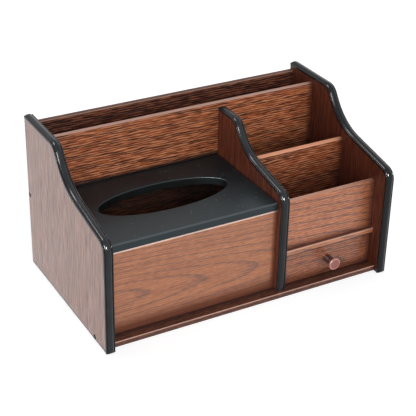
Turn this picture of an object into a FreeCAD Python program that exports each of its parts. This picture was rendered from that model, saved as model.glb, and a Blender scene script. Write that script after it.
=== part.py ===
"""Desk organiser with a tissue compartment, three pockets and a small drawer.

Everything is in millimetres. +X runs to the right, +Y to the back and +Z up. The origin lies on the
surface that the organiser stands on, under the middle of its overall box. The front faces -Y.
"""

import FreeCAD, Part

import math
import os

Vector = FreeCAD.Vector
AXIS_X = Vector(1, 0, 0)
AXIS_Y = Vector(0, 1, 0)
AXIS_Z = Vector(0, 0, 1)

# ---------------------------------------------------------------- driving dimensions
# Overall size, over the edge moulding.
overall_width = 335.0
overall_depth = 196.0
overall_height = 178.0

# Board stock.
side_board = 9.0            # the two sides and the divider
partition_board = 6.5       # upright boards between them
floor_board = 6.0           # base and drawer shelf
lid_board_thickness = 9.0
arris = 0.5                 # sanded rounding of the thin boards' top edges

# PVC edge moulding, pressed into a saw kerf in the edge of a board.
moulding_crown = 2.6        # how far the half-round stands out from the board's edge
moulding_lip = 0.4          # how far the lips stand out from the board's faces
lip_overlap = 1.2           # how far the lips reach over the faces
bead_height = 1.0
crown_half_width = 3.7
seat_gap = 0.05             # between the moulding and the board that it sits on
moulding_end_round = 2.2    # rounding of the crown at its foot and at its rear end
tongue_thickness = 1.8
tongue_depth = 4.6
kerf_thickness = 2.0
kerf_depth = 5.2

# Side boards: an upright front, a gentle slope, a steep rise and a level top.
side_shoulder_height = 122.3    # where the front line and the slope would meet
slope_angle = 10.9
rise_angle = 54.5
side_rise_setback = 120.4       # from the moulding's front to where the rise meets the level top
shoulder_radius = 12.0
hollow_radius = 66.0
crest_radius = 15.0

# Divider: the same outline, lower and set back, standing on the base.
divider_centre = 41.1
divider_setback = 12.4
divider_top_drop = 13.4         # below the sides' boards
divider_shoulder_height = 118.0
divider_rise_setback = 114.6
divider_hollow_radius = 60.0

# Places of the boards' front faces, counted back from the moulding's front.
base_setback = 8.4
tissue_front_setback = 22.0
lid_setback = 21.0
shelf_setback = 17.5
pocket_front_setback = 22.3
drawer_setback = 20.5
pocket_partition_setback = 84.0
rear_partition_setback = 148.5

# Heights of the boards.
rear_partition_drop = 9.0       # these two below the sides' moulding
back_drop = 9.0
pocket_partition_height = 128.0
pocket_front_height = 105.2
lid_top = 109.0
shelf_underside = 43.3

# Lid: lifts at the front about two pins near its rear edge.
lid_end_gap = 1.2
lid_rest_gap = 0.3
lid_rear_gap = 0.5
lid_front_radius = 1.2
lid_rear_radius = 4.0
mouth_length = 146.0
mouth_width = 54.5
mouth_setback = 87.3            # centre of the oval, from the moulding's front
mouth_round = 0.8
pin_radius = 2.0
pin_in_lid = 8.0
pin_seat_gap = 0.04             # the pins are glued into the lid
pin_in_board = 4.0
pin_running_gap = 0.06
pin_end_gap = 0.4

# Drawer.
drawer_side_gap = 0.9
drawer_floor_gap = 0.3
drawer_head_gap = 0.7
drawer_rear_gap = 0.4
drawer_wall = 6.0
drawer_side_height = 30.0
drawer_bottom_thickness = 3.0
drawer_bottom_lift = 2.5
groove_depth = 2.5
groove_gap = 0.1

# Knob, turned from wood.
knob_height = 25.4
knob_reach = 15.8
knob_foot_radius = 4.5
knob_neck_radius = 3.9
knob_head_radius = 6.7
knob_head_thickness = 2.8
knob_dish = 0.5
knob_neck_flare = 0.5
knob_stem_hollow = 0.25         # how much thicker than its neck the stem is at half its length
knob_edge = 1.0

# Fasteners.
screw_radius = 1.5
screw_head_radius = 2.6
screw_head_depth = 1.9
screw_sink = 0.7
side_screw_length = 22.0
base_screw_length = 20.0
back_screw_length = 22.0
screw_gap = 0.05
screw_clearance = 0.2
recess_width = 0.7
recess_depth = 1.0
side_screw_setback = 30.5       # of the lower side screws, from the moulding's front
side_screw_height = 85.0        # of the side screws into the back
back_screw_inset = 50.0         # of the outer back screws, from the sides
rear_screw_inset = 60.0         # of the outer screws under the rear partition, from the sides
tissue_screw_inset = 40.0       # of the screws under the tissue compartment's front, from its ends
divider_screw_inset = 35.0      # of the screws under the divider, from its ends
dowel_radius = 1.5
dowel_in_side = 5.0
dowel_in_panel = 7.0
dowel_gap = 0.05
dowel_end_gap = 0.4
dowel_inset = 32.0              # of the upright boards' dowels, from their top edges
shelf_dowel_inset = 25.0        # from the shelf's front and rear edges
drawer_dowel_inset = 6.0        # of the drawer front's dowels, from the drawer side's top edge
drawer_dowel_in_front = 4.0
drawer_dowel_in_side = 8.0
brad_radius = 0.6
brad_length = 15.0
brad_gap = 0.04
brad_inset = 4.0                # from the drawer side's top edge
knob_screw_grip = 12.0          # thread inside the knob
knob_screw_head = 1.8
knob_screw_flange = 0.6         # how much wider its head is than a countersunk one

# ---------------------------------------------------------------- derived places
front = -overall_depth / 2
back = overall_depth / 2
board_top = overall_height - moulding_crown
side_outer = overall_width / 2 - moulding_lip
side_inner = side_outer - side_board
side_middle = side_outer - side_board / 2
divider_front = front + divider_setback
divider_left = divider_centre - side_board / 2
divider_right = divider_centre + side_board / 2
base_front = front + base_setback
base_top = floor_board
shelf_front = front + shelf_setback
shelf_top = shelf_underside + floor_board
back_front = back - partition_board
rear_front = front + rear_partition_setback
rear_back = rear_front + partition_board
rear_top = overall_height - rear_partition_drop
back_top = overall_height - back_drop
tissue_front = front + tissue_front_setback
tissue_back = tissue_front + partition_board
pocket_front = front + pocket_front_setback
pocket_back = pocket_front + partition_board
middle_front = front + pocket_partition_setback
middle_back = middle_front + partition_board
lid_underside = lid_top - lid_board_thickness
tissue_front_top = lid_underside - lid_rest_gap
lid_front = front + lid_setback
lid_back = rear_front - lid_rear_gap
lid_left = -side_inner + lid_end_gap
lid_right = divider_left - lid_end_gap
pivot_y = lid_back - lid_board_thickness / 2
pivot_z = lid_top - lid_board_thickness / 2
drawer_left = divider_right + drawer_side_gap
drawer_right = side_inner - drawer_side_gap
drawer_front = front + drawer_setback
drawer_face_back = drawer_front + partition_board
drawer_back = rear_front - drawer_rear_gap
drawer_floor = base_top + drawer_floor_gap
drawer_head = shelf_underside - drawer_head_gap
drawer_side_top = drawer_floor + drawer_side_height
drawer_middle = (drawer_left + drawer_right) / 2
groove_floor = drawer_floor + drawer_bottom_lift


# ---------------------------------------------------------------- shared shapes
overcut = 1.0               # how far a cutting tool runs past the face that it enters
touching = 1e-4


def box(x0, x1, y0, y1, z0, z1):
    """A block between two corners."""
    return Part.makeBox(x1 - x0, y1 - y0, z1 - z0, Vector(x0, y0, z0))


def rod(radius, start, direction, length):
    """A round bar from a point along a direction."""
    return Part.makeCylinder(radius, length, start, direction)


def turned(profile, centre, direction):
    """A lathe-turned solid: profile holds (distance along the axis, radius) pairs, or ("arc", via, end)."""
    edges = []
    last = None
    for item in profile:
        if item[0] == "arc":
            points = [Vector(p[1], 0, p[0]) for p in item[1:]]
            edges.append(Part.Arc(last, points[0], points[1]).toShape())
            last = points[1]
            continue
        point = Vector(item[1], 0, item[0])
        if last is not None:
            edges.append(Part.LineSegment(last, point).toShape())
        last = point
    first = Vector(profile[0][1], 0, profile[0][0])
    edges.append(Part.LineSegment(last, first).toShape())
    solid = Part.Face(Part.Wire(edges)).revolve(Vector(0, 0, 0), AXIS_Z, 360)
    solid.Placement = FreeCAD.Placement(centre, FreeCAD.Rotation(AXIS_Z, direction))
    return solid


def eased(solid, radius, *places):
    """Rounds the edges that run along X through the given (y, z) places."""
    middle = solid.BoundBox.Center.x
    probes = [Part.Vertex(Vector(middle, y, z)) for y, z in places]
    edges = [e for e in solid.Edges if min(e.distToShape(p)[0] for p in probes) < touching]
    return solid.makeFillet(radius, edges)


def upright(x0, x1, y0, y1, z0, z1):
    """A thin upright board with its two top edges eased."""
    return eased(box(x0, x1, y0, y1, z0, z1), arris, (y0, z1), (y1, z1))


def level(x0, x1, y0, y1, z0, z1):
    """A thin level board with its two front edges eased."""
    return eased(box(x0, x1, y0, y1, z0, z1), arris, (y0, z0), (y0, z1))


# ---------------------------------------------------------------- outline of the sides and the divider
class Corner:
    """One corner of an outline in the Y-Z plane, with the radius that rounds it."""

    def __init__(self, y, z, radius=0.0):
        self.point = Vector(0, y, z)
        self.radius = radius


def outline(front_y, foot_z, shoulder_z, crest_setback, top_z, back_y, hollow):
    """Corners of a board's moulded edge, from the foot of its front up and back to its rear top."""
    slope = math.tan(math.radians(slope_angle))
    rise = math.tan(math.radians(rise_angle))
    crest_y = front + crest_setback
    hollow_y = (top_z - rise * crest_y - shoulder_z + slope * front_y) / (slope - rise)
    hollow_z = shoulder_z + slope * (hollow_y - front_y)
    return [
        Corner(front_y, foot_z),
        Corner(front_y, shoulder_z, shoulder_radius),
        Corner(hollow_y, hollow_z, hollow),
        Corner(crest_y, top_z, crest_radius),
        Corner(back_y, top_z),
    ]


def edge_runs(corners):
    """The outline as straight runs and arcs: (start, end, None) or (start, end, (centre, via, degrees))."""
    runs = []
    start = corners[0].point
    for before, corner, after in zip(corners, corners[1:], corners[2:]):
        to_before = (before.point - corner.point).normalize()
        to_after = (after.point - corner.point).normalize()
        half = to_before.getAngle(to_after) / 2
        reach = corner.radius / math.tan(half)
        bisector = (to_before + to_after).normalize()
        centre = corner.point + bisector * (corner.radius / math.sin(half))
        first = corner.point + to_before * reach
        last = corner.point + to_after * reach
        via = centre - bisector * corner.radius
        turn = math.degrees(math.pi - 2 * half)
        clockwise = to_before.cross(to_after).x > 0
        runs.append((start, first, None))
        runs.append((first, last, (centre, via, -turn if clockwise else turn)))
        start = last
    runs.append((start, corners[-1].point, None))
    return runs


def board(corners, x0, x1):
    """A flat board with that outline, its foot level and its back upright."""
    edges = []
    for start, end, arc in edge_runs(corners):
        if arc is None:
            edges.append(Part.LineSegment(start, end).toShape())
        else:
            edges.append(Part.Arc(start, arc[1], end).toShape())
    foot = corners[0].point
    top = corners[-1].point
    heel = Vector(0, top.y, foot.z)
    edges.append(Part.LineSegment(top, heel).toShape())
    edges.append(Part.LineSegment(heel, foot).toShape())
    face = Part.Face(Part.Wire(edges))
    face.translate(AXIS_X * x0)
    return face.extrude(AXIS_X * (x1 - x0))


def swept(corners, x_middle, section):
    """Carries a section along the outline. section(place) gives its edges; place(u, v) is a point
    u across the board's thickness and v out from its edge."""
    pieces = []
    for start, end, arc in edge_runs(corners):
        if arc is None:
            along = (end - start).normalize()
            outward = Vector(0, -along.z, along.y)
        else:
            outward = (start - arc[0]).normalize()
            if arc[2] > 0:
                outward = -outward

        def place(u, v):
            return start + AXIS_X * (x_middle + u) + outward * v

        face = Part.Face(Part.Wire(section(place)))
        if arc is None:
            pieces.append(face.extrude(end - start))
        else:
            pieces.append(face.revolve(arc[0] + AXIS_X * x_middle, AXIS_X, arc[2]))
    whole = pieces[0].fuse(pieces[1:])
    return whole.removeSplitter()


def kerf_section(place):
    """The saw kerf that takes the moulding's tongue."""
    half = kerf_thickness / 2
    spots = [(-half, overcut), (half, overcut), (half, -kerf_depth), (-half, -kerf_depth)]
    corners = [place(u, v) for u, v in spots]
    return [Part.LineSegment(a, b).toShape() for a, b in zip(corners, corners[1:] + corners[:1])]


def moulding_section(place):
    """Half-round crown between two beads, lips over the board's faces and a tongue for the kerf."""
    outside = side_board / 2 + moulding_lip
    inside = side_board / 2 + seat_gap
    tongue = tongue_thickness / 2
    bead_radius = (outside - crown_half_width) / 2
    foot = bead_height - bead_radius

    def line(*points):
        spots = [place(*p) for p in points]
        return [Part.LineSegment(a, b).toShape() for a, b in zip(spots, spots[1:])]

    def arc(first, via, last):
        return Part.Arc(place(*first), place(*via), place(*last)).toShape()

    edges = line(
        (outside, foot),
        (outside, -lip_overlap),
        (inside, -lip_overlap),
        (inside, seat_gap),
        (tongue, seat_gap),
        (tongue, -tongue_depth),
        (-tongue, -tongue_depth),
        (-tongue, seat_gap),
        (-inside, seat_gap),
        (-inside, -lip_overlap),
        (-outside, -lip_overlap),
        (-outside, foot),
    )
    edges.append(arc((-outside, foot), (bead_radius - outside, bead_height), (-crown_half_width, foot)))
    edges.append(arc((-crown_half_width, foot), (0, moulding_crown), (crown_half_width, foot)))
    edges.append(arc((crown_half_width, foot), (outside - bead_radius, bead_height), (outside, foot)))
    return edges


def rounded_ends(moulding):
    """Takes the corner off the crown where it meets the floor and where it ends at the back."""
    reach = moulding_end_round
    left = moulding.BoundBox.XMin - overcut
    right = moulding.BoundBox.XMax + overcut
    foot = box(left, right, front - overcut, front + reach, -overcut, reach)
    foot_round = rod(reach, Vector(left, front + reach, reach), AXIS_X, right - left)
    end = box(left, right, back - reach, back + overcut, overall_height - reach, overall_height + overcut)
    end_round = rod(reach, Vector(left, back - reach, overall_height - reach), AXIS_X, right - left)
    return moulding.cut([foot.cut(foot_round), end.cut(end_round)])


side_outline = outline(
    front + moulding_crown, 0.0, side_shoulder_height, side_rise_setback, board_top, back, hollow_radius
)
divider_outline = outline(
    divider_front + moulding_crown,
    base_top,
    divider_shoulder_height,
    divider_rise_setback,
    board_top - divider_top_drop,
    rear_front,
    divider_hollow_radius,
)


# ---------------------------------------------------------------- fasteners
def countersunk_screw(tip_end, direction, length):
    """A flat-headed screw driven along one of the axes, with a crossed recess in its head."""
    profile = [
        (0, 0),
        (0, screw_head_radius),
        (screw_head_depth, screw_radius),
        (length - screw_radius, screw_radius),
        (length, 0),
    ]
    screw = turned(profile, tip_end, direction)
    across = Vector(direction.y, direction.z, direction.x)
    for arm in (across, direction.cross(across)):
        slot = Part.makeBox(2 * screw_radius, recess_width, 2 * recess_depth)
        slot.translate(Vector(-screw_radius, -recess_width / 2, -recess_depth))
        turn = FreeCAD.Rotation(arm, direction.cross(arm), direction, "XZY")
        slot.Placement = FreeCAD.Placement(tip_end, turn).multiply(slot.Placement)
        screw = screw.cut(slot)
    return screw


def screw_hole(head_point, direction, clear_length, length):
    """Countersunk hole for a screw whose head lies screw_sink under head_point's surface."""
    seat = head_point + direction * screw_sink
    outside = head_point - direction * overcut
    mouth = rod(screw_head_radius + screw_clearance, outside, direction, screw_sink + overcut)
    cone = turned(
        [
            (0, 0),
            (0, screw_head_radius + screw_clearance),
            (screw_head_depth, screw_radius + screw_clearance),
            (screw_head_depth, 0),
        ],
        seat,
        direction,
    )
    shank = rod(screw_radius + screw_clearance, seat, direction, clear_length - screw_sink)
    pilot = rod(screw_radius + screw_gap, seat, direction, length + screw_gap)
    return mouth.fuse([cone, shank, pilot])


def dowel_and_hole(start, direction, length):
    """A glued dowel and its hole, which is a little longer at both ends."""
    dowel = rod(dowel_radius, start, direction, length)
    hole_start = start - direction * dowel_end_gap
    return dowel, rod(dowel_radius + dowel_gap, hole_start, direction, length + 2 * dowel_end_gap)


class Fastening:
    """Screws and dowels of the carcass, and the holes that they need."""

    def __init__(self):
        self.side_screws = []
        self.base_screws = []
        self.back_screws = []
        self.dowels = []
        self.holes = []

    def add_screw(self, group, head_point, direction, through, length):
        """A sunk screw from an outer surface through a board of that thickness and on into the next."""
        group.append(countersunk_screw(head_point + direction * screw_sink, direction, length))
        self.holes.append(screw_hole(head_point, direction, through, length))

    def add_dowel(self, x, y, z, side):
        """A dowel across a butt joint at x; side is the direction, -1 or 1, of the side board."""
        start = Vector(x + side * dowel_in_side, y, z)
        dowel, hole = dowel_and_hole(start, AXIS_X * -side, dowel_in_side + dowel_in_panel)
        self.dowels.append(dowel)
        self.holes.append(hole)

    def drill(self, solid):
        """Cuts every hole that meets the board."""
        near = [h for h in self.holes if h.BoundBox.intersect(solid.BoundBox)]
        return solid.cut(near) if near else solid


def carcass_fastening():
    fastening = Fastening()
    base_middle = base_top / 2
    back_middle = (back_front + back) / 2
    rear_middle = (rear_front + rear_back) / 2
    tissue_middle = (tissue_front + tissue_back) / 2
    pocket_middle = (pocket_front + pocket_back) / 2
    middle_middle = (middle_front + middle_back) / 2
    shelf_middle = (shelf_underside + shelf_top) / 2
    for side in (-1, 1):
        inward = AXIS_X * -side
        for y, z in ((front + side_screw_setback, base_middle), (back_middle, side_screw_height)):
            head_point = Vector(side * side_outer, y, z)
            fastening.add_screw(fastening.side_screws, head_point, inward, side_board, side_screw_length)
        for z in (base_top + dowel_inset, rear_top - dowel_inset):
            fastening.add_dowel(side * side_inner, rear_middle, z, side)
    for x in (back_screw_inset - side_inner, 0, side_inner - back_screw_inset):
        head_point = Vector(x, back, base_middle)
        fastening.add_screw(fastening.back_screws, head_point, -AXIS_Y, partition_board, back_screw_length)
    under = [
        (rear_screw_inset - side_inner, rear_middle),
        (0, rear_middle),
        (side_inner - rear_screw_inset, rear_middle),
        (tissue_screw_inset - side_inner, tissue_middle),
        (divider_left - tissue_screw_inset, tissue_middle),
        (divider_centre, divider_front + divider_screw_inset),
        (divider_centre, rear_front - divider_screw_inset),
    ]
    for x, y in under:
        fastening.add_screw(fastening.base_screws, Vector(x, y, 0), AXIS_Z, floor_board, base_screw_length)
    for x, side in ((-side_inner, -1), (divider_left, 1)):
        fastening.add_dowel(x, tissue_middle, tissue_front_top - dowel_inset, side)
    for x, side in ((divider_right, -1), (side_inner, 1)):
        fastening.add_dowel(x, pocket_middle, pocket_front_height - dowel_inset, side)
        fastening.add_dowel(x, middle_middle, pocket_partition_height - dowel_inset, side)
        fastening.add_dowel(x, shelf_front + shelf_dowel_inset, shelf_middle, side)
        fastening.add_dowel(x, rear_front - shelf_dowel_inset, shelf_middle, side)
    return fastening


# ---------------------------------------------------------------- carcass boards
def pin_bore(x_face, direction):
    """Blind bore in a side board for one of the lid's pins."""
    return rod(
        pin_radius + pin_running_gap,
        Vector(x_face, pivot_y, pivot_z),
        AXIS_X * direction,
        pin_in_board + pin_end_gap,
    )


def side_boards(fastening):
    kerf = {side: swept(side_outline, side * side_middle, kerf_section) for side in (-1, 1)}
    left = board(side_outline, -side_outer, -side_inner).cut(kerf[-1])
    right = board(side_outline, side_inner, side_outer).cut(kerf[1])
    left = left.cut(pin_bore(-side_inner, -1))
    return fastening.drill(left), fastening.drill(right)


def divider(fastening):
    kerf = swept(divider_outline, divider_centre, kerf_section)
    plain = board(divider_outline, divider_left, divider_right)
    return fastening.drill(plain.cut(kerf).cut(pin_bore(divider_left, 1)))


def edge_mouldings():
    return {
        "left_edge_moulding": rounded_ends(swept(side_outline, -side_middle, moulding_section)),
        "right_edge_moulding": rounded_ends(swept(side_outline, side_middle, moulding_section)),
        "divider_edge_moulding": swept(divider_outline, divider_centre, moulding_section),
    }


def thin_boards(fastening):
    """The flat boards between the sides, drilled for their screws and dowels."""
    boards = {
        "base_board": level(-side_inner, side_inner, base_front, back_front, 0, base_top),
        "back_board": upright(-side_inner, side_inner, back_front, back, 0, back_top),
        "rear_partition": upright(
            -side_inner, side_inner, rear_front, rear_back, base_top, rear_top
        ),
        "tissue_front_board": upright(
            -side_inner, divider_left, tissue_front, tissue_back, base_top, tissue_front_top
        ),
        "drawer_shelf": level(divider_right, side_inner, shelf_front, rear_front, shelf_underside, shelf_top),
        "pocket_front_board": upright(
            divider_right, side_inner, pocket_front, pocket_back, shelf_top, pocket_front_height
        ),
        "pocket_partition": upright(
            divider_right, side_inner, middle_front, middle_back, shelf_top, pocket_partition_height
        ),
    }
    return {name: fastening.drill(solid) for name, solid in boards.items()}


# ---------------------------------------------------------------- lid
def lid():
    """The lid with its oval mouth, and the two pins on which it turns."""
    blank = box(lid_left, lid_right, lid_front, lid_back, lid_underside, lid_top)
    blank = eased(blank, lid_front_radius, (lid_front, lid_underside), (lid_front, lid_top))
    blank = eased(blank, lid_rear_radius, (lid_back, lid_top))
    mouth_centre = Vector((lid_left + lid_right) / 2, front + mouth_setback, lid_underside - overcut)
    oval = Part.Ellipse(mouth_centre, mouth_length / 2, mouth_width / 2).toShape()
    mouth = Part.Face(Part.Wire(oval)).extrude(AXIS_Z * (lid_board_thickness + 2 * overcut))
    plate = blank.cut(mouth)
    plate = plate.makeFillet(mouth_round, [e for e in plate.Edges if e.isClosed()])
    pins = []
    for x, outward in ((lid_left, -1), (lid_right, 1)):
        inner_end = Vector(x - outward * pin_in_lid, pivot_y, pivot_z)
        direction = AXIS_X * outward
        pins.append(rod(pin_radius, inner_end, direction, pin_in_lid + lid_end_gap + pin_in_board))
        plate = plate.cut(rod(pin_radius + pin_seat_gap, inner_end, direction, pin_in_lid + overcut))
    return plate, Part.makeCompound(pins)


# ---------------------------------------------------------------- drawer
def drawer():
    """The drawer's boards. The bottom lies in a groove that runs round all four walls."""
    inner_left = drawer_left + drawer_wall
    inner_right = drawer_right - drawer_wall
    inner_back = drawer_back - drawer_wall
    bottom = box(
        inner_left - groove_depth + groove_gap,
        inner_right + groove_depth - groove_gap,
        drawer_face_back - groove_depth + groove_gap,
        inner_back + groove_depth - groove_gap,
        groove_floor,
        groove_floor + drawer_bottom_thickness,
    )
    groove = box(
        inner_left - groove_depth,
        inner_right + groove_depth,
        drawer_face_back - groove_depth,
        inner_back + groove_depth,
        groove_floor,
        groove_floor + drawer_bottom_thickness + groove_gap,
    )
    face = level(drawer_left, drawer_right, drawer_front, drawer_face_back, drawer_floor, drawer_head)
    left = box(drawer_left, inner_left, drawer_face_back, drawer_back, drawer_floor, drawer_side_top)
    right = box(inner_right, drawer_right, drawer_face_back, drawer_back, drawer_floor, drawer_side_top)
    rear = box(inner_left, inner_right, inner_back, drawer_back, drawer_floor, drawer_side_top)
    bore_start = Vector(drawer_middle, drawer_face_back, knob_height)
    screw_bore = rod(screw_radius + screw_clearance, bore_start, -AXIS_Y, partition_board)
    brads, brad_holes = drawer_brads()
    dowels, dowel_holes = drawer_dowels()
    return {
        "drawer_front": face.cut([groove, screw_bore] + dowel_holes),
        "drawer_left_side": left.cut([groove] + brad_holes + dowel_holes),
        "drawer_right_side": right.cut([groove] + brad_holes + dowel_holes),
        "drawer_back": rear.cut([groove] + brad_holes),
        "drawer_bottom": bottom,
        "drawer_brads": brads,
        "drawer_dowels": dowels,
    }


def drawer_nailing_heights(inset):
    """Two heights in a drawer side, above its groove and below its top edge."""
    return (groove_floor + drawer_bottom_thickness + inset, drawer_side_top - inset)


def drawer_dowels():
    """Dowels from the back of the drawer's front into the front ends of its sides."""
    dowels = []
    holes = []
    for x in (drawer_left + drawer_wall / 2, drawer_right - drawer_wall / 2):
        for z in drawer_nailing_heights(drawer_dowel_inset):
            start = Vector(x, drawer_face_back - drawer_dowel_in_front, z)
            dowel, hole = dowel_and_hole(start, AXIS_Y, drawer_dowel_in_front + drawer_dowel_in_side)
            dowels.append(dowel)
            holes.append(hole)
    return Part.makeCompound(dowels), holes


def drawer_brads():
    """Headless nails through the drawer's sides into the ends of its back."""
    nails = []
    holes = []
    y = drawer_back - drawer_wall / 2
    for x, inward in ((drawer_left, 1), (drawer_right, -1)):
        direction = AXIS_X * inward
        for z in drawer_nailing_heights(brad_inset):
            nails.append(rod(brad_radius, Vector(x, y, z), direction, brad_length))
            holes.append(rod(brad_radius + brad_gap, Vector(x, y, z), direction, brad_length + brad_gap))
    return Part.makeCompound(nails), holes


def knob():
    """Turned knob on a waisted stem, with its screw from inside the drawer."""
    head = knob_reach - knob_head_thickness
    tip = knob_reach
    dish_radius = knob_head_radius - knob_edge
    dish_ball = (dish_radius**2 + knob_dish**2) / (2 * knob_dish)
    dish_bottom = tip - knob_dish
    dish_rise = dish_ball - math.sqrt(dish_ball**2 - dish_radius**2 / 4)
    rounding = knob_edge * (1 - math.sqrt(0.5))
    profile = [
        (0, 0),
        (0, knob_foot_radius),
        ("arc", (head / 2, knob_neck_radius + knob_stem_hollow), (head - knob_neck_flare, knob_neck_radius)),
        (head, knob_neck_radius + knob_neck_flare),
        (head, dish_radius),
        ("arc", (head + rounding, knob_head_radius - rounding), (head + knob_edge, knob_head_radius)),
        (tip - knob_edge, knob_head_radius),
        ("arc", (tip - rounding, knob_head_radius - rounding), (tip, dish_radius)),
        ("arc", (dish_bottom + dish_rise, dish_radius / 2), (dish_bottom, 0)),
    ]
    foot = Vector(drawer_middle, drawer_front, knob_height)
    body = turned(profile, foot, -AXIS_Y)
    body = body.cut(rod(screw_radius + screw_gap, foot, -AXIS_Y, knob_screw_grip + screw_gap))
    head_seat = Vector(drawer_middle, drawer_face_back + knob_screw_head, knob_height)
    length = knob_screw_head + partition_board + knob_screw_grip
    profile = [
        (0, 0),
        (0, screw_head_radius),
        (knob_screw_head, screw_head_radius + knob_screw_flange),
        (knob_screw_head, screw_radius),
        (length - screw_radius, screw_radius),
        (length, 0),
    ]
    screw = turned(profile, head_seat, -AXIS_Y)
    slot = box(
        drawer_middle - screw_head_radius - overcut, drawer_middle + screw_head_radius + overcut,
        head_seat.y - recess_depth, head_seat.y + overcut,
        knob_height - recess_width / 2, knob_height + recess_width / 2,
    )
    return body, screw.cut(slot)


# ---------------------------------------------------------------- all pieces
def build():
    fastening = carcass_fastening()
    left, right = side_boards(fastening)
    plate, pins = lid()
    knob_body, knob_screw = knob()
    nodes = {
        "left_side_board": left,
        "right_side_board": right,
        "divider_board": divider(fastening),
        "side_screws": Part.makeCompound(fastening.side_screws),
        "base_screws": Part.makeCompound(fastening.base_screws),
        "back_screws": Part.makeCompound(fastening.back_screws),
        "board_dowels": Part.makeCompound(fastening.dowels),
        "lid_board": plate,
        "lid_pivot_pins": pins,
        "drawer_knob": knob_body,
        "knob_screw": knob_screw,
    }
    nodes.update(edge_mouldings())
    nodes.update(thin_boards(fastening))
    nodes.update(drawer())
    return nodes


os.makedirs("parts", exist_ok=True)
for name, shape in sorted(build().items()):
    shape.exportStep("parts/" + name + ".step")
    state = "valid" if shape.isValid() else "INVALID"
    print(name, len(shape.Solids), "solids", round(shape.Volume, 1), "mm3", state)
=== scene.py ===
"""Looks of a walnut desk organiser with a tissue compartment, open pockets and a small drawer."""

import math
from typing import NamedTuple

import bpy
from mathutils import Matrix, Vector

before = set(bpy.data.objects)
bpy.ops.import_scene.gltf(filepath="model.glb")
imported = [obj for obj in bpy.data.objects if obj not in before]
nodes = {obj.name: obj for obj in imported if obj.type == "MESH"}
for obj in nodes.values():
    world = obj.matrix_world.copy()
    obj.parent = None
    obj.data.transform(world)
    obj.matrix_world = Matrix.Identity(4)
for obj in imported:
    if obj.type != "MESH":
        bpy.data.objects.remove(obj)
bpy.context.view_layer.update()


# ---- Camera ---------------------------------------------------------------------------------------
# A short telephoto view from the left front, a little above: it shows the front, the left side and
# the top. The picture is square, and it is turned by a little more than a degree.
frame_pixels = 416
focal_pixels = 1177.75
camera_turn = math.radians(-29.704)
camera_rise = math.radians(28.892)
camera_roll = math.radians(1.344)
camera_distance = 1.2590
camera_target = Vector((0.0, 0.002, 0.080))
camera_data = bpy.data.cameras.new("camera")
camera_data.sensor_width = 36.0
camera_data.lens = focal_pixels * camera_data.sensor_width / frame_pixels
camera_data.shift_x = -0.0030
camera_data.shift_y = -0.0142
camera_data.clip_end = 20.0
camera = bpy.data.objects.new("camera", camera_data)
bpy.context.scene.collection.objects.link(camera)
away = Vector((
    math.sin(camera_turn) * math.cos(camera_rise),
    -math.cos(camera_turn) * math.cos(camera_rise),
    math.sin(camera_rise),
))
right = Vector((0, 0, 1)).cross(away).normalized()
above = away.cross(right)
axes = Matrix((right, above, away)).transposed() @ Matrix.Rotation(camera_roll, 3, "Z")
camera.matrix_world = Matrix.Translation(camera_target + away * camera_distance) @ axes.to_4x4()
bpy.context.scene.camera = camera
bpy.context.scene.view_settings.view_transform = "Standard"


# ---- Floor and light ------------------------------------------------------------------------------
# A white floor without an edge in view, under a surround that is bright behind and in front and dim
# overhead and at the sides. Three small lamps, beside the camera, left and behind, only make highlights.
def feed(tree, node, socket, value):
    """Wires a socket to another node's output, or sets it to a number or a colour."""
    if isinstance(value, bpy.types.NodeSocket):
        tree.links.new(value, node.inputs[socket])
    else:
        node.inputs[socket].default_value = value


def add_node(tree, kind, inputs, **settings):
    made = tree.nodes.new(kind)
    for setting, value in settings.items():
        setattr(made, setting, value)
    for socket, value in inputs.items():
        feed(tree, made, socket, value)
    return made


def shown_directly(tree):
    """1 for what the camera, reflections and clear parts see; 0 for the light that falls on the object."""
    seen = add_node(tree, "ShaderNodeLightPath", {}).outputs
    shown = seen["Is Camera Ray"]
    for ray in ("Is Glossy Ray", "Is Transmission Ray"):
        shown = add_node(tree, "ShaderNodeMath", {0: shown, 1: seen[ray]}, operation="MAXIMUM").outputs[0]
    return shown


floor_half = 4.0
floor_colour = (0.52, 0.54, 0.55, 1.0)
floor_glow = 0.68
floor_corners = [(x * floor_half, y * floor_half, 0.0) for x, y in ((-1, -1), (1, -1), (1, 1), (-1, 1))]
floor_mesh = bpy.data.meshes.new("floor")
floor_mesh.from_pydata(floor_corners, [], [(0, 1, 2, 3)])
floor = bpy.data.objects.new("floor", floor_mesh)
bpy.context.scene.collection.objects.link(floor)
floor_material = bpy.data.materials.new("floor_white")
floor_material.use_nodes = True
floor_tree = floor_material.node_tree
floor_surface = floor_tree.nodes["Principled BSDF"]
feed(floor_tree, floor_surface, "Base Color", floor_colour)
feed(floor_tree, floor_surface, "Roughness", 0.9)
feed(floor_tree, floor_surface, "Specular IOR Level", 0.0)
feed(floor_tree, floor_surface, "Emission Color", (1.0, 1.0, 1.0, 1.0))
floor_light = add_node(
    floor_tree, "ShaderNodeMath", {0: shown_directly(floor_tree), 1: floor_glow}, operation="MULTIPLY"
)
feed(floor_tree, floor_surface, "Emission Strength", floor_light.outputs[0])
floor_mesh.materials.append(floor_material)


def spark(name, place, size, watts):
    """A small round lamp that shows only in glossy surfaces."""
    light = bpy.data.lights.new(name, "AREA")
    light.shape = "DISK"
    light.size = size
    light.energy = watts
    lamp = bpy.data.objects.new(name, light)
    bpy.context.scene.collection.objects.link(lamp)
    lamp.location = place
    towards = Vector((0.0, 0.0, 0.10)) - lamp.location
    lamp.rotation_euler = towards.to_track_quat("-Z", "Y").to_euler()
    lamp.visible_diffuse = False
    lamp.visible_transmission = False


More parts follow.
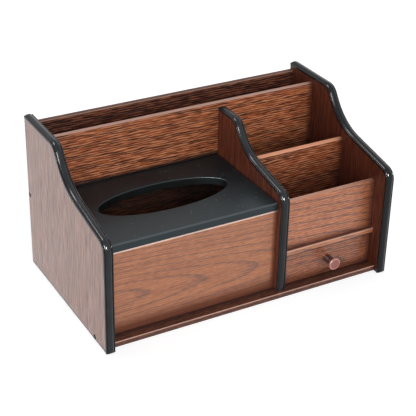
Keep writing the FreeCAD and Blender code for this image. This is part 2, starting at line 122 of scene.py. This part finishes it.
spark("spark", place=(-0.62, -1.02, 0.68), size=0.20, watts=36.0)
spark("spark_left", place=(-1.17, -0.43, 0.48), size=0.40, watts=16.0)
spark("spark_behind", place=(-0.88, 0.56, 1.32), size=0.60, watts=11.0)

# Each is dimmest where the cosine to its way is at its edge, and brightest where the cosine is full.
bright_sides = (
    {"way": (0.15, 0.95, 0.25), "edge": -0.05, "full": 0.85, "least": 0.20, "most": 1.15},
    {"way": (0.12, -0.97, 0.20), "edge": 0.55, "full": 1.00, "least": 0.00, "most": 2.60},
)
world = bpy.data.worlds.new("surround")
bpy.context.scene.world = world
world.use_nodes = True
sky = world.node_tree
surround = sky.nodes["Background"]
feed(sky, surround, "Color", (1.0, 1.0, 1.0, 1.0))
sky_way = add_node(sky, "ShaderNodeTexCoord", {}).outputs["Generated"]
sky_levels = []
for side in bright_sides:
    cosine = add_node(sky, "ShaderNodeVectorMath", {0: sky_way, 1: side["way"]}, operation="DOT_PRODUCT")
    limits = {
        "Value": cosine.outputs["Value"], "From Min": side["edge"], "From Max": side["full"],
        "To Min": side["least"], "To Max": side["most"],
    }
    sky_levels.append(add_node(sky, "ShaderNodeMapRange", limits).outputs["Result"])
sky_light = add_node(sky, "ShaderNodeMath", dict(enumerate(sky_levels)), operation="ADD").outputs[0]
sky_white = 1.0
sky_shown = add_node(sky, "ShaderNodeMix", {0: shown_directly(sky), 2: sky_light, 3: sky_white})
feed(sky, surround, "Strength", sky_shown.outputs[0])


# ---- Side boards and divider ----------------------------------------------------------------------
# Three upright 9 mm fibreboards, wrapped in dark walnut foil whose straight grain stands upright. The
# outer faces have a satin varnish. The outer faces are painted lighter as light, the inner faces and
# the divider darker as shade, with a painted shadow along the foot. Screws through the sides hold the
# base board and the back.
class Board:
    """Where one piece lies, in metres."""

    def __init__(self, name):
        points = [vertex.co for vertex in nodes[name].data.vertices]
        self.left, self.front, self.foot = (min(point[axis] for point in points) for axis in range(3))
        self.right, self.rear, self.top = (max(point[axis] for point in points) for axis in range(3))


class Finish:
    """A material built up from nodes on one glossy surface."""

    def __init__(self, name, **constants):
        self.material = bpy.data.materials.new(name)
        self.material.use_nodes = True
        self.tree = self.material.node_tree
        self.surface = self.tree.nodes["Principled BSDF"]
        for socket, value in constants.items():
            self.lay(socket.replace("_", " "), value)

    def lay(self, socket, value):
        """Gives the surface a number, a colour or a pattern."""
        feed(self.tree, self.surface, socket, value)

    def node(self, kind, inputs, **settings):
        return add_node(self.tree, kind, inputs, **settings)

    def maths(self, operation, a, b=0.0):
        return self.node("ShaderNodeMath", {0: a, 1: b}, operation=operation).outputs[0]

    def vector(self, operation, a, b=(0.0, 0.0, 0.0)):
        """Vector arithmetic, which gives a number for a length or a dot product."""
        result = "Value" if operation in ("LENGTH", "DOT_PRODUCT") else "Vector"
        return self.node("ShaderNodeVectorMath", {0: a, 1: b}, operation=operation).outputs[result]

    def place(self):
        """The piece's own coordinates in metres."""
        return self.node("ShaderNodeTexCoord", {}).outputs["Object"]

    def along(self, axis):
        """One of the piece's own coordinates in metres."""
        return self.node("ShaderNodeSeparateXYZ", {"Vector": self.place()}).outputs[axis]

    def grain_space(self, grain, offset=(0.0, 0.0, 0.0)):
        """The piece's own coordinates in metres, turned so that X runs along the grain."""
        turns = {"X": (0, 0, 0), "Y": (0, 0, -math.pi / 2), "Z": (0, math.pi / 2, 0)}
        inputs = {"Vector": self.place(), "Rotation": turns[grain], "Location": offset}
        return self.node("ShaderNodeMapping", inputs).outputs["Vector"]

    def noise(self, space, per_metre, detail, roughness, output="Fac"):
        """Noise with so many features to the metre along and across the grain."""
        stretched = self.node("ShaderNodeMapping", {"Vector": space, "Scale": per_metre}).outputs["Vector"]
        inputs = {"Vector": stretched, "Scale": 1.0, "Detail": detail, "Roughness": roughness}
        return self.node("ShaderNodeTexNoise", inputs).outputs[output]

    def ramp(self, value, *stops):
        """A colour or a grey level for each value: stops are (position, level or colour)."""
        made = self.node("ShaderNodeValToRGB", {"Fac": value})
        elements = made.color_ramp.elements
        while len(elements) < len(stops):
            elements.new(1.0)
        for element, (position, colour) in zip(elements, stops):
            element.position = position
            element.color = (*colour, 1.0) if isinstance(colour, tuple) else (colour, colour, colour, 1.0)
        return made.outputs["Color"]

    def mix(self, factor, a, b, blend="MIX"):
        """Blends two colours, or lays the second over the first."""
        colours = [(*colour, 1.0) if isinstance(colour, tuple) else colour for colour in (a, b)]
        inputs = {0: factor, 6: colours[0], 7: colours[1]}
        return self.node("ShaderNodeMix", inputs, data_type="RGBA", blend_type=blend).outputs[2]

    def bump(self, height, depth, under=None):
        """Relief of so many metres, laid on the relief beneath it."""
        inputs = {"Height": height, "Distance": depth, "Strength": 1.0}
        if under is not None:
            inputs["Normal"] = under
        return self.node("ShaderNodeBump", inputs).outputs["Normal"]

    def rings(self, space, heart, tilt, spacing, wander):
        """Growth rings about a heart line: dark at the end of each ring, then a step back to pale."""
        drift = self.noise(space, (6.0, 24.0, 24.0), detail=5.0, roughness=0.6, output="Color")
        drift = self.vector("ADD", drift, (-0.5, -0.5, -0.5))
        drift = self.vector("MULTIPLY", drift, (0.0, wander, wander))
        inputs = {"Vector": self.vector("ADD", space, drift), "Location": heart, "Rotation": tilt}
        placed = self.node("ShaderNodeMapping", inputs, vector_type="TEXTURE").outputs["Vector"]
        rings_at_scale_one = 20 / (2 * math.pi)
        wave = self.node(
            "ShaderNodeTexWave", {"Vector": placed, "Scale": 1 / (spacing * rings_at_scale_one)},
            wave_type="RINGS", rings_direction="X", wave_profile="SAW",
        )
        return wave.outputs["Fac"]

    def fibres(self, space, spacing, wander, per_metre):
        """Fine lines along the grain, so far apart, that waver and break up into dashes: 0 to 1."""
        across = self.vector("DOT_PRODUCT", space, (0.0, 1.0, 1.0))
        phase = self.maths("MULTIPLY", across, 2 * math.pi / spacing)
        drift = self.noise(space, per_metre, detail=2.0, roughness=0.5)
        drift = self.maths("MULTIPLY", drift, 2 * math.pi * wander)
        ripple = self.maths("SINE", self.maths("ADD", phase, drift))
        return self.maths("ADD", self.maths("MULTIPLY", ripple, 0.5), 0.5)

    def near(self, lines, full, none, run="X"):
        """1 close to lines along an axis, each given by its other two coordinates, and 0 further off."""
        across = {"X": (0.0, 1.0, 1.0), "Y": (1.0, 0.0, 1.0), "Z": (1.0, 1.0, 0.0)}[run]
        nearest = None
        for line in lines:
            spot = list(line)
            spot.insert("XYZ".index(run), 0.0)
            aside = self.vector("MULTIPLY", self.vector("SUBTRACT", self.place(), spot), across)
            distance = self.vector("LENGTH", aside)
            nearest = distance if nearest is None else self.maths("MINIMUM", nearest, distance)
        limits = {"Value": nearest, "From Min": full, "From Max": none, "To Min": 1.0, "To Max": 0.0}
        return self.node("ShaderNodeMapRange", limits, interpolation_type="SMOOTHSTEP").outputs["Result"]

    def dress(self, *names):
        """Puts the finish on the named pieces."""
        for name in names:
            nodes[name].data.materials.clear()
            nodes[name].data.materials.append(self.material)


def shade_of(colour, red, green, blue):
    return (colour[0] * red, colour[1] * green, colour[2] * blue)


class PaintedShade(NamedTuple):
    """Painted shade in corners along one axis, each given by its other two coordinates."""

    run: str
    corners: tuple
    reach: float
    darkness: float


def walnut(
    name, grain, pale, deep, line, offset, rings, pores, gloss,
    arrises=(), arris_highlight=(0.75, 0.44, 0.34), top=None, seams=(), painted_shade=(),
):
    """Walnut foil: streaked ground, growth rings, short pores pressed in, and satin varnish.

    Rings lie about a heart line, and wander by so many metres. Pores are dashes so far apart; a longer
    run stretches them, and specks are their share against unbroken fibres. Their pale crests are partly
    the print and partly painted glints. Arrises painted pale as highlights, and dark seams painted as
    shade, are lines along X, given by y and z. The top is the height of the upper edge, and the colour its
    up-facing face is painted as light falling on it. Painted shade darkens the corners it is given.
    """
    finish = Finish(
        name, Roughness=gloss["roughness"], Specular_IOR_Level=gloss["specular"],
        Coat_Weight=gloss["coat"], Coat_Roughness=gloss["coat_roughness"],
    )
    space = finish.grain_space(grain, offset)
    streaks = finish.noise(space, (9.0, 150.0, 150.0), detail=5.0, roughness=0.65)
    ground = finish.mix(finish.ramp(streaks, (0.30, 0.0), (0.70, 1.0)), deep, pale)

    growth = finish.rings(space, rings["heart"], rings["tilt"], rings["spacing"], rings["wander"])
    band = finish.ramp(growth, (0.0, 0.3), (0.05, 0.0), (0.70, 0.0), (0.92, 1.0), (1.0, 1.0))
    breaks = finish.noise(space, (30.0, 120.0, 120.0), detail=3.0, roughness=0.6)
    band = finish.maths("MULTIPLY", band, finish.ramp(breaks, (0.30, 0.70), (0.60, 1.0)))
    ground = finish.mix(finish.maths("MULTIPLY", band, rings["strength"]), ground, line)

    fibres = finish.fibres(space, pores["spacing"], pores["wander"], (60.0 / pores["run"], 170.0, 170.0))
    specks = finish.noise(space, (170.0 / pores["run"], 640.0, 640.0), detail=1.0, roughness=0.5)
    dashes = finish.mix(pores["specks"], fibres, specks)
    pits = finish.ramp(dashes, (0.32, 1.0), (0.47, 0.0))
    # Pale crests, partly the print and partly painted glints.
    crests_and_glints = finish.ramp(dashes, (0.53, 0.0), (0.68, 1.0))
    pit_colour = shade_of(line, 0.35, 0.35, 0.35)
    ground = finish.mix(finish.maths("MULTIPLY", pits, pores["dark"]), ground, pit_colour)
    ground = finish.mix(finish.maths("MULTIPLY", crests_and_glints, pores["pale"]), ground, pores["crest"])

    # The up-facing top face is painted paler, as light falling on it.
    if top:
        top_height, top_painted_light = top
        top_depth = 0.001
        facing = finish.node("ShaderNodeNewGeometry", {}).outputs["Normal"]
        facing_up = finish.node("ShaderNodeSeparateXYZ", {"Vector": facing}).outputs["Z"]
        level = finish.ramp(facing_up, (0.80, 0.0), (0.95, 0.85))
        at_top = finish.maths("GREATER_THAN", finish.along("Z"), top_height - top_depth)
        level = finish.maths("MULTIPLY", level, at_top)
        ground = finish.mix(level, ground, top_painted_light)
    # Painted highlights along the arrises, broken up by the streaks.
    if arrises:
        patchy = finish.ramp(streaks, (0.3, 0.45), (0.7, 0.85))
        highlighted_arris = finish.maths("MULTIPLY", finish.near(arrises, full=0.0006, none=0.0011), patchy)
        ground = finish.mix(highlighted_arris, ground, arris_highlight)
    # Dark joint lines, painted as shade.
    if seams:
        seam_colour = shade_of(line, 0.3, 0.3, 0.3)
        ground = finish.mix(finish.near(seams, full=0.0004, none=0.0016), ground, seam_colour)
    # Painted shade in corners and along edges that other parts shade.
    painted_shade_colour = shade_of(line, 0.6, 0.25, 0.12)
    for shading in painted_shade:
        shaded_part = finish.near(shading.corners, full=0.0, none=shading.reach, run=shading.run)
        ground = finish.mix(finish.maths("MULTIPLY", shaded_part, shading.darkness), ground, painted_shade_colour)

    finish.ground = ground
    finish.pits = pits
    finish.lay("Base Color", ground)
    streak_relief = 0.0001
    finish.lay("Normal", finish.bump(streaks, streak_relief, finish.bump(dashes, pores["depth"])))
    return finish


side_walnut = walnut(
    "walnut_upright",
    grain="Z",
    pale=(0.235, 0.070, 0.035),
    deep=(0.105, 0.029, 0.014),
    line=(0.045, 0.014, 0.009),
    offset=(0.3, 0.11, 0.05),
    rings={
        "heart": (0.0, 0.42, 0.10), "tilt": (0.0, 0.02, 0.03), "spacing": 0.017, "wander": 0.012,
        "strength": 0.22,
    },
    pores={
        "spacing": 0.0026, "wander": 3.2, "run": 4.0, "specks": 0.68,
        "dark": 0.52, "pale": 0.52, "crest": (0.34, 0.14, 0.08), "depth": 0.0002,
    },
    gloss={"roughness": 0.38, "specular": 0.22, "coat": 1.0, "coat_roughness": 0.26},
)
right_side = Board("right_side_board")
divider = Board("divider_board")
outer_part = 0.0041
outer_from = right_side.right - outer_part
divider_within = (divider.right + right_side.left) / 2
# Painted light on the outer faces, painted shade on the inner faces and, less, on the divider.
inner_painted_shade = (0.74, 0.52, 0.42)
outer_painted_light = (1.85, 1.90, 1.95)
divider_light_and_shade = (1.06, 0.82, 0.70)
side_aside = side_walnut.maths("ABSOLUTE", side_walnut.along("X"))
side_outer = side_walnut.maths("GREATER_THAN", side_aside, outer_from)
side_middle = side_walnut.maths("LESS_THAN", side_aside, divider_within)
side_light_and_shade = side_walnut.mix(side_outer, inner_painted_shade, outer_painted_light)
side_light_and_shade = side_walnut.mix(side_middle, side_light_and_shade, divider_light_and_shade)
side_ground = side_walnut.mix(1.0, side_walnut.ground, side_light_and_shade, "MULTIPLY")
side_varnish = side_walnut.mix(side_walnut.pits, (1.0, 1.0, 1.0), (0.45, 0.45, 0.45))
side_walnut.lay("Coat Weight", side_walnut.maths("MULTIPLY", side_outer, side_varnish))
# A painted shadow along the foot.
painted_foot_shadow = side_walnut.ramp(side_walnut.along("Z"), (0.0014, 1.0), (0.0028, 0.0))
side_walnut.lay("Base Color", side_walnut.mix(painted_foot_shadow, side_ground, (0.012, 0.008, 0.007)))
side_walnut.dress("left_side_board", "right_side_board", "divider_board")


# ---- Edge mouldings -------------------------------------------------------------------------------
# Black PVC moulding pressed into a saw kerf along the edges of the sides and the divider. It is
# satin, slightly uneven where it was bent round the corners, and painted darker on the right side as
# shade.
edging = Finish("black_moulding", Specular_IOR_Level=0.26)
edging_space = edging.grain_space("X")
edging_mottle = edging.noise(edging_space, (60.0, 60.0, 60.0), detail=3.0, roughness=0.6)
edging_base = edging.ramp(edging_mottle, (0.3, (0.012, 0.013, 0.016)), (0.7, (0.020, 0.022, 0.025)))
# The right moulding is painted darker, as shade.
edging_painted_shade = edging.maths("GREATER_THAN", edging.along("X"), divider_within)
edging.lay("Base Color", edging.mix(edging_painted_shade, edging_base, (0.005, 0.006, 0.008)))
edging.lay("Roughness", edging.ramp(edging_mottle, (0.3, 0.13), (0.7, 0.21)))
edging_dimples = edging.noise(edging_space, (900.0, 900.0, 900.0), detail=2.0, roughness=0.5)
dimple_depth = 0.000004
edging.lay("Normal", edging.bump(edging_dimples, dimple_depth))
edging.dress("left_edge_moulding", "right_edge_moulding", "divider_edge_moulding")


# ---- Tissue front ---------------------------------------------------------------------------------
# The wide board in front of the tissues: 6.5 mm fibreboard in warm walnut foil with level grain and
# cathedral figure, dowelled between the left side and the divider. Its top arris is painted pale as a
# highlight, and painted shade darkens its foot and its right end.
tissue = Board("tissue_front_board")
front_foil = {
    "grain": "X",
    "pale": (0.460, 0.155, 0.055),
    "deep": (0.310, 0.092, 0.032),
    "line": (0.140, 0.052, 0.030),
    "pores": {
        "spacing": 0.0026, "wander": 1.6, "run": 1.0, "specks": 0.70,
        "dark": 0.26, "pale": 0.26, "crest": (0.62, 0.28, 0.14), "depth": 0.0003,
    },
    "gloss": {"roughness": 0.40, "specular": 0.5, "coat": 0.6, "coat_roughness": 0.26},
}
tissue_walnut = walnut(
    "walnut_tissue_front",
    offset=(0.0, 0.0, 0.0),
    rings={
        "heart": (-0.303, -0.076, 0.0518), "tilt": (0.0, 0.037, 0.083), "spacing": 0.0054, "wander": 0.004,
        "strength": 0.80,
    },
    arrises=((tissue.front, tissue.top - 0.0006),),
    arris_highlight=(0.95, 0.72, 0.62),
    # Painted shade along the foot and the right end.
    painted_shade=(
        PaintedShade("X", ((tissue.front, tissue.foot),), reach=0.022, darkness=0.85),
        PaintedShade("Z", ((tissue.right, tissue.front),), reach=0.0075, darkness=0.85),
    ),
    **front_foil,
)
tissue_walnut.dress("tissue_front_board")


# ---- Pocket front ---------------------------------------------------------------------------------
# A 6.5 mm fibreboard in foil from another part of the roll, whose dark growth rings slope a little. It
# is dowelled in over the drawer's shelf. Painted shade darkens its foot and its ends, and its top face
# and rear arris are painted paler, as light and a highlight.
pocket = Board("pocket_front_board")
pocket_foil = {
    **front_foil,
    "pale": (0.515, 0.158, 0.055),
    "deep": (0.347, 0.094, 0.032),
    "line": (0.095, 0.034, 0.020),
    "pores": {**front_foil["pores"], "dark": 0.40, "pale": 0.42},
    "offset": (0.31, 0.0, 0.0),
}
pocket_rings = {
    "heart": (0.10, -0.0755, 0.020), "tilt": (0.0, 0.0456, 0.108), "spacing": 0.0076, "wander": 0.009,
    "strength": 0.95,
}
pocket_walnut = walnut(
    "walnut_pocket_front",
    rings=pocket_rings,
    arrises=((pocket.rear, pocket.top),),
    # The top face painted paler, as light; shade painted at the foot and the ends.
    top=(pocket.top, (0.58, 0.26, 0.155)),
    painted_shade=(
        PaintedShade("X", ((pocket.front, pocket.foot),), reach=0.009, darkness=0.6),
        PaintedShade("Z", ((pocket.left, pocket.front), (pocket.right, pocket.front)), reach=0.008, darkness=0.7),
        PaintedShade("Z", ((pocket.right, pocket.front),), reach=0.030, darkness=0.3),
    ),
    **pocket_foil,
)
pocket_walnut.dress("pocket_front_board")


# ---- Drawer shelf ---------------------------------------------------------------------------------
# A 6 mm fibreboard over the drawer, dowelled between the divider and the right side. Its front edge
# stands out as a pale ledge with its arris painted pale as a highlight. A dark seam and painted shade
# lie where the pocket's front stands on it, with painted shade along the ledge's lower edge.
shelf = Board("drawer_shelf")
mid_ledge = pocket.front - 0.0023
shelf_walnut = walnut(
    "walnut_shelf",
    rings={**pocket_rings, "strength": 0.80},
    arrises=((shelf.front - 0.0001, shelf.top - 0.0007),),
    seams=((pocket.front, shelf.top),),
    # Painted shade on the ledge in front of the pocket and under its front edge.
    painted_shade=(
        PaintedShade("X", ((pocket.front, shelf.top), (mid_ledge, shelf.top)), reach=0.0036, darkness=0.95),
        PaintedShade("X", ((shelf.front, shelf.foot),), reach=0.0012, darkness=0.6),
    ),
    **{**pocket_foil, "pale": (0.580, 0.200, 0.075), "deep": (0.400, 0.125, 0.045)},
)
shelf_walnut.dress("drawer_shelf")


# ---- Base board -----------------------------------------------------------------------------------
# A 6 mm fibreboard under the whole organiser, screwed up into the boards that stand on it. Its front
# edge and a strip of its dark top show, as a ledge in front of the other boards. Its dark foil is
# partly painted shade, its front arris is painted pale as a highlight, and painted shade lies along
# the foot of the tissue front.
base = Board("base_board")
base_walnut = walnut(
    "walnut_base",
    grain="X",
    # A dark foil, partly painted shade.
    pale=(0.115, 0.032, 0.014),
    deep=(0.058, 0.016, 0.008),
    line=(0.035, 0.013, 0.009),
    offset=(0.4, 0.02, 0.09),
    rings={
        "heart": (0.5, 0.2, -0.3), "tilt": (0.0, 0.02, 0.05), "spacing": 0.0068, "wander": 0.006,
        "strength": 0.60,
    },
    pores={**front_foil["pores"], "dark": 0.50, "pale": 0.35, "crest": (0.30, 0.11, 0.06)},
    gloss={"roughness": 0.40, "specular": 0.3, "coat": 0.15, "coat_roughness": 0.26},
    arrises=((base.front, base.top),),
    # Painted shade along the foot of the tissue front.
    painted_shade=(PaintedShade("X", ((tissue.front, base.top),), reach=0.009, darkness=0.8),),
)
base_walnut.dress("base_board")


# ---- Rear partition -------------------------------------------------------------------------------
# The long 6.5 mm fibreboard behind the lid, dowelled between the sides. Its foil is more deeply
# embossed, with longer bright and dark strokes. It is painted dark as shade low in the tissue
# compartment, along the gap behind the lid and at its right end, and its top face is painted paler
# as light.
def darkened_below(finish, tint, dark_below=0.078, light_above=0.115):
    """Painted shade: the ground multiplied by a tint low down, fading to none further up."""
    shade = finish.ramp(finish.along("Z"), (dark_below, tint), (light_above, (1.0, 1.0, 1.0)))
    return finish.mix(1.0, finish.ground, shade, "MULTIPLY")


rear = Board("rear_partition")
lid = Board("lid_board")
inner_foil = {
    "grain": "X",
    "pale": (0.360, 0.093, 0.027),
    "deep": (0.260, 0.064, 0.021),
    "line": (0.080, 0.026, 0.012),
    "rings": {
        "heart": (0.9, 0.30, 0.31), "tilt": (0.0, 0.02, 0.05), "spacing": 0.008, "wander": 0.012,
        "strength": 0.80,
    },
    "pores": {
        "spacing": 0.0026, "wander": 1.8, "run": 2.0, "specks": 0.72,
        "dark": 0.90, "pale": 0.90, "crest": (0.54, 0.215, 0.100), "depth": 0.0008,
    },
    "gloss": {"roughness": 0.45, "specular": 0.20, "coat": 0.0, "coat_roughness": 0.30},
}
rear_walnut = walnut(
    "walnut_rear_partition",
    offset=(0.17, 0.05, 0.31),
    # The top face painted paler, as light; shade painted at the right end.
    top=(rear.top, (0.49, 0.285, 0.225)),
    painted_shade=(PaintedShade("Z", ((rear.right, rear.front),), reach=0.009, darkness=0.8),),
    **inner_foil,
)
# Painted shade low down in the tissue compartment.
rear_ground = darkened_below(rear_walnut, (0.24, 0.22, 0.22))
# Painted shade along the gap behind the lid, over the tissues.
gap_line = (rear.front, lid.foot + 0.0070)
behind_lid = rear_walnut.near((gap_line,), full=0.0010, none=0.0085)
over_tissues = rear_walnut.maths("LESS_THAN", rear_walnut.along("X"), (divider.left + divider.right) / 2)
behind_lid = rear_walnut.maths("MULTIPLY", behind_lid, over_tissues)
rear_walnut.lay("Base Color", rear_walnut.mix(behind_lid, rear_ground, (0.010, 0.004, 0.002)))
rear_walnut.dress("rear_partition")


# ---- Pocket partition -----------------------------------------------------------------------------
# The low 6.5 mm fibreboard between the two pockets, in the same embossed foil, a little darker. It is
# dowelled in over the drawer's shelf. Its top face and arrises are painted a pale orange as light and
# highlights, and painted shade darkens it low down and at its ends.
middle = Board("pocket_partition")
middle_walnut = walnut(
    "walnut_pocket_partition",
    offset=(0.37, 0.05, 0.11),
    arrises=((middle.front, middle.top), (middle.rear, middle.top)),
    arris_highlight=(0.95, 0.48, 0.30),
    # The top face painted a pale orange as light; shade painted at the ends.
    top=(middle.top, (0.95, 0.42, 0.25)),
    painted_shade=(
        PaintedShade("Z", ((middle.right, middle.front), (middle.left, middle.front)), reach=0.009, darkness=0.8),
    ),
    **{**inner_foil, "pale": (0.290, 0.070, 0.019), "deep": (0.200, 0.046, 0.014)},
)
# Painted shade low down between the pockets.
middle_walnut.lay("Base Color", darkened_below(middle_walnut, (0.46, 0.42, 0.42)))
middle_walnut.dress("pocket_partition")


# ---- Back board -----------------------------------------------------------------------------------
# The 6.5 mm fibreboard that closes the back and the rear slot, screwed to the base and the sides. In
# the slot it has the embossed foil in a much darker brown, partly painted shade, with its top arris
# painted paler as a highlight, and its outer face is plainer.
back = Board("back_board")
back_walnut = walnut(
    "walnut_back",
    offset=(0.57, 0.15, 0.11),
    arrises=((back.front, back.top),),
    arris_highlight=(0.42, 0.24, 0.16),
    **{
        **inner_foil,
        # A much darker brown, partly painted shade.
        "pale": (0.110, 0.027, 0.012),
        "deep": (0.060, 0.015, 0.008),
        "line": (0.030, 0.010, 0.006),
        "pores": {**inner_foil["pores"], "dark": 1.0, "crest": (0.27, 0.090, 0.045)},
    },
)
back_outer = back_walnut.maths("GREATER_THAN", back_walnut.along("Y"), back.rear - 0.0002)
plainness = 0.65
back_plainness = back_walnut.maths("MULTIPLY", back_outer, plainness)
back_walnut.lay("Base Color", back_walnut.mix(back_plainness, back_walnut.ground, (0.120, 0.034, 0.016)))
back_walnut.dress("back_board")


# ---- Lid ------------------------------------------------------------------------------------------
# A 9 mm fibreboard in matte charcoal foil, with specks of dust and an oval mouth for the tissues. It
# turns on two pins near its rear edge, and the wall of the mouth is painted black. Its front arris is
# painted paler as a highlight.
charcoal = Finish("charcoal_foil", Specular_IOR_Level=0.46, Specular_Tint=(0.82, 0.96, 1.0, 1.0))
charcoal_space = charcoal.grain_space("X")
charcoal_mottle = charcoal.noise(charcoal_space, (25.0, 60.0, 60.0), detail=4.0, roughness=0.6)
charcoal_base = charcoal.ramp(
    charcoal_mottle, (0.3, (0.001, 0.0045, 0.007)), (0.7, (0.0015, 0.007, 0.011))
)
dust = charcoal.noise(charcoal_space, (260.0, 260.0, 260.0), detail=2.0, roughness=0.5)
charcoal_base = charcoal.mix(charcoal.ramp(dust, (0.70, 0.0), (0.75, 0.6)), charcoal_base, (0.20, 0.20, 0.19))
# A highlight painted along the front arris.
front_edge_highlight = charcoal.near(((lid.front, lid.top),), full=0.0009, none=0.0018)
charcoal_base = charcoal.mix(front_edge_highlight, charcoal_base, (0.050, 0.057, 0.064))
mouth_centre = ((lid.left + lid.right) / 2, -0.0107)
mouth_half = (0.0745, 0.0287)
rim_height = 0.0009
from_mouth = charcoal.vector("SUBTRACT", charcoal.place(), (*mouth_centre, 0.0))
from_mouth = charcoal.vector("MULTIPLY", from_mouth, (1 / mouth_half[0], 1 / mouth_half[1], 0.0))
in_mouth = charcoal.maths("LESS_THAN", charcoal.vector("LENGTH", from_mouth), 1.0)
under_rim = charcoal.maths("LESS_THAN", charcoal.along("Z"), lid.top - rim_height)
mouth_wall = charcoal.maths("MULTIPLY", in_mouth, under_rim)
charcoal.lay("Base Color", charcoal.mix(mouth_wall, charcoal_base, (0.003, 0.003, 0.003)))
charcoal.lay("Roughness", charcoal.ramp(charcoal_mottle, (0.3, 0.34), (0.7, 0.42)))
charcoal_grit = charcoal.noise(charcoal_space, (1500.0, 1500.0, 1500.0), detail=2.0, roughness=0.6)
grit_depth = 0.00005
charcoal.lay("Normal", charcoal.bump(charcoal_grit, grit_depth))
charcoal.dress("lid_board")


# ---- Drawer front ---------------------------------------------------------------------------------
# A 6.5 mm fibreboard in walnut foil with level growth rings, dowelled to the drawer's sides. It closes
# between the shelf and the base with a narrow gap all round. Painted shade darkens it along the gap,
# at its foot and ends and under the shelf, and its top arris is painted pale as a highlight.
face = Board("drawer_front")
drawer_walnut = walnut(
    "walnut_drawer",
    grain="X",
    pale=(0.305, 0.082, 0.026),
    deep=(0.198, 0.047, 0.015),
    line=(0.085, 0.031, 0.018),
    offset=(0.0, 0.0, 0.0),
    rings={
        "heart": (-0.06, -0.077, 0.012), "tilt": (0.0, -0.03, 0.10), "spacing": 0.0062, "wander": 0.004,
        "strength": 0.90,
    },
    pores={**front_foil["pores"], "dark": 0.45, "pale": 0.45, "crest": (0.50, 0.21, 0.11)},
    gloss={"roughness": 0.40, "specular": 0.4, "coat": 0.6, "coat_roughness": 0.26},
    arrises=((face.front, face.top),),
    # Painted shade along the gaps, under the shelf and at the ends.
    painted_shade=(
        PaintedShade("X", ((face.front, face.foot),), reach=0.012, darkness=0.7),
        PaintedShade("X", ((face.front, face.top - 0.0018),), reach=0.0018, darkness=0.75),
        PaintedShade("Z", ((face.left, face.front), (face.right, face.front)), reach=0.007, darkness=0.6),
        PaintedShade("Z", ((face.right, face.front),), reach=0.026, darkness=0.15),
    ),
)
drawer_walnut.dress("drawer_front")


# ---- Drawer box and dowels ------------------------------------------------------------------------
# Behind its front the drawer is bare pale beech: two sides and a back, bradded together, with a
# thin bottom in a groove. The dowels that join the boards are turned from the same wood.
beech = Finish("bare_beech", Roughness=0.62)
beech_space = beech.grain_space("Y")
beech_streaks = beech.noise(beech_space, (12.0, 220.0, 220.0), detail=4.0, roughness=0.6)
beech_ground = beech.ramp(beech_streaks, (0.25, (0.58, 0.335, 0.19)), (0.75, (0.78, 0.51, 0.33)))
beech_flecks = beech.noise(beech_space, (160.0, 1300.0, 1300.0), detail=1.0, roughness=0.5)
beech_flecks = beech.ramp(beech_flecks, (0.62, 0.0), (0.72, 0.55))
beech.lay("Base Color", beech.mix(beech_flecks, beech_ground, (0.36, 0.20, 0.10)))
beech_relief = 0.0001
beech.lay("Normal", beech.bump(beech_streaks, beech_relief))
beech.dress("drawer_left_side", "drawer_right_side", "drawer_back", "drawer_bottom")
beech.dress("drawer_dowels", "board_dowels")


# ---- Knob -----------------------------------------------------------------------------------------
# Turned from a close-grained reddish wood and lacquered, with its grain along the stem. The head is
# paler than the stem, with a highlight painted round its rim. A screw from inside the drawer holds it.
knob = Board("drawer_knob")
head_thickness = 0.0028
head_back = knob.front + head_thickness
knob_axis = ((knob.left + knob.right) / 2, (knob.foot + knob.top) / 2)
rosewood = Finish("turned_rosewood", Roughness=0.36, Coat_Weight=0.3, Coat_Roughness=0.15)
rosewood_space = rosewood.grain_space("Y")
rosewood_streaks = rosewood.noise(rosewood_space, (60.0, 700.0, 700.0), detail=3.0, roughness=0.6)
rosewood_head = rosewood.ramp(rosewood_streaks, (0.3, (0.20, 0.055, 0.042)), (0.7, (0.36, 0.110, 0.082)))
rosewood_stem = rosewood.ramp(rosewood_streaks, (0.3, (0.050, 0.010, 0.008)), (0.7, (0.110, 0.024, 0.018)))
is_stem = rosewood.maths("GREATER_THAN", rosewood.along("Y"), head_back)
rosewood_ground = rosewood.mix(is_stem, rosewood_head, rosewood_stem)
# A highlight painted round the rim of the head.
rim_highlight = rosewood.maths("SUBTRACT", 1.0, rosewood.near((knob_axis,), full=0.0048, none=0.0060, run="Y"))
rim_highlight = rosewood.maths("MULTIPLY", rim_highlight, rosewood.maths("SUBTRACT", 1.0, is_stem))
rosewood.lay("Base Color", rosewood.mix(rim_highlight, rosewood_ground, (0.56, 0.235, 0.190)))
rosewood_relief = 0.0001
rosewood.lay("Normal", rosewood.bump(rosewood_streaks, rosewood_relief))
rosewood.dress("drawer_knob")


# ---- Screws, pins and brads -----------------------------------------------------------------------
# Zinc-plated steel, dulled and a little blotchy: screws driven up through the base, in through the
# back and into the knob, the drawer's brads and the lid's pins. The screws in the sides are blackened.
def blotchy_metal(name, dark, pale, smooth, dull, **constants):
    """A metal finish between two colours and two roughnesses, in blotches of about two millimetres."""
    metal = Finish(name, **constants)
    blotches = metal.noise(metal.grain_space("X"), (500.0, 500.0, 500.0), detail=3.0, roughness=0.6)
    metal.lay("Base Color", metal.ramp(blotches, (0.3, dark), (0.7, pale)))
    metal.lay("Roughness", metal.ramp(blotches, (0.3, smooth), (0.7, dull)))
    blotch_relief = 0.00004
    metal.lay("Normal", metal.bump(blotches, blotch_relief))
    return metal


steel = blotchy_metal(
    "dull_zinc", dark=(0.24, 0.235, 0.22), pale=(0.42, 0.41, 0.39), smooth=0.32, dull=0.5, Metallic=1.0
)
steel.dress("base_screws", "back_screws", "lid_pivot_pins", "drawer_brads", "knob_screw")
blackened = blotchy_metal(
    "black_oxide", dark=(0.010, 0.009, 0.009), pale=(0.026, 0.024, 0.023), smooth=0.45, dull=0.62,
    Metallic=0.4, Specular_IOR_Level=0.3,
)
blackened.dress("side_screws")
